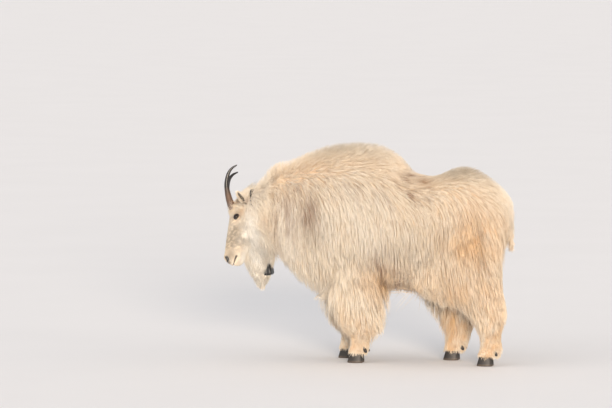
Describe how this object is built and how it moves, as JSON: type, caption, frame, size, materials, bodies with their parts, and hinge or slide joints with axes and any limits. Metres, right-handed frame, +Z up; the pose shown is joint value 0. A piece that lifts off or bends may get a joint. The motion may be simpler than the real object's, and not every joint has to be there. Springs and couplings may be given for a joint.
{
  "type": "mountain goat",
  "caption": "Life-size standing mountain goat in long winter coat, with slender curved horns, beard, humped shoulders and a neck collar.",
  "frame": {"origin": "on the floor under the centre of the goat's bounding box", "axes": "-X is the way the goat faces, -Y is its left side, +Z is up; the hooves stand at Z = 0"},
  "size_m": [1.5059, 0.5131, 1.0752],
  "materials": {
    "winter_coat": "long, soft, cream-white guard hair in hanging locks",
    "short_coat": "short dense hair of the face, ears and shanks",
    "horn": "dark grey-brown keratin, ringed towards the base, satin",
    "hoof": "worn black keratin",
    "eye": "wet, dark amber-brown",
    "collar_strap": "dark belting with cut edges",
    "collar_housing": "moulded black housing, plain"
  },
  "bodies": {
    "root": {"neck": "winter_coat", "torso": "winter_coat", "rump": "winter_coat", "tail": "winter_coat", "upper_leg_front_left": "winter_coat", "upper_leg_front_right": "winter_coat", "upper_leg_hind_left": "winter_coat", "upper_leg_hind_right": "winter_coat", "head": "short_coat", "ear_left": "short_coat", "ear_right": "short_coat", "lower_leg_front_left": "short_coat", "lower_leg_front_right": "short_coat", "lower_leg_hind_left": "short_coat", "lower_leg_hind_right": "short_coat", "horn_left": "horn", "horn_right": "horn", "eye_left": "eye", "eye_right": "eye", "hoof_front_left_left": "hoof", "dewclaw_front_left_left": "hoof", "hoof_front_left_right": "hoof", "dewclaw_front_left_right": "hoof", "hoof_front_right_left": "hoof", "dewclaw_front_right_left": "hoof", "hoof_front_right_right": "hoof", "dewclaw_front_right_right": "hoof", "hoof_hind_left_left": "hoof", "dewclaw_hind_left_left": "hoof", "hoof_hind_left_right": "hoof", "dewclaw_hind_left_right": "hoof", "hoof_hind_right_left": "hoof", "dewclaw_hind_right_left": "hoof", "hoof_hind_right_right": "hoof", "dewclaw_hind_right_right": "hoof", "collar_strap": "collar_strap", "collar_housing": "collar_housing"}
  },
  "joints": []
}
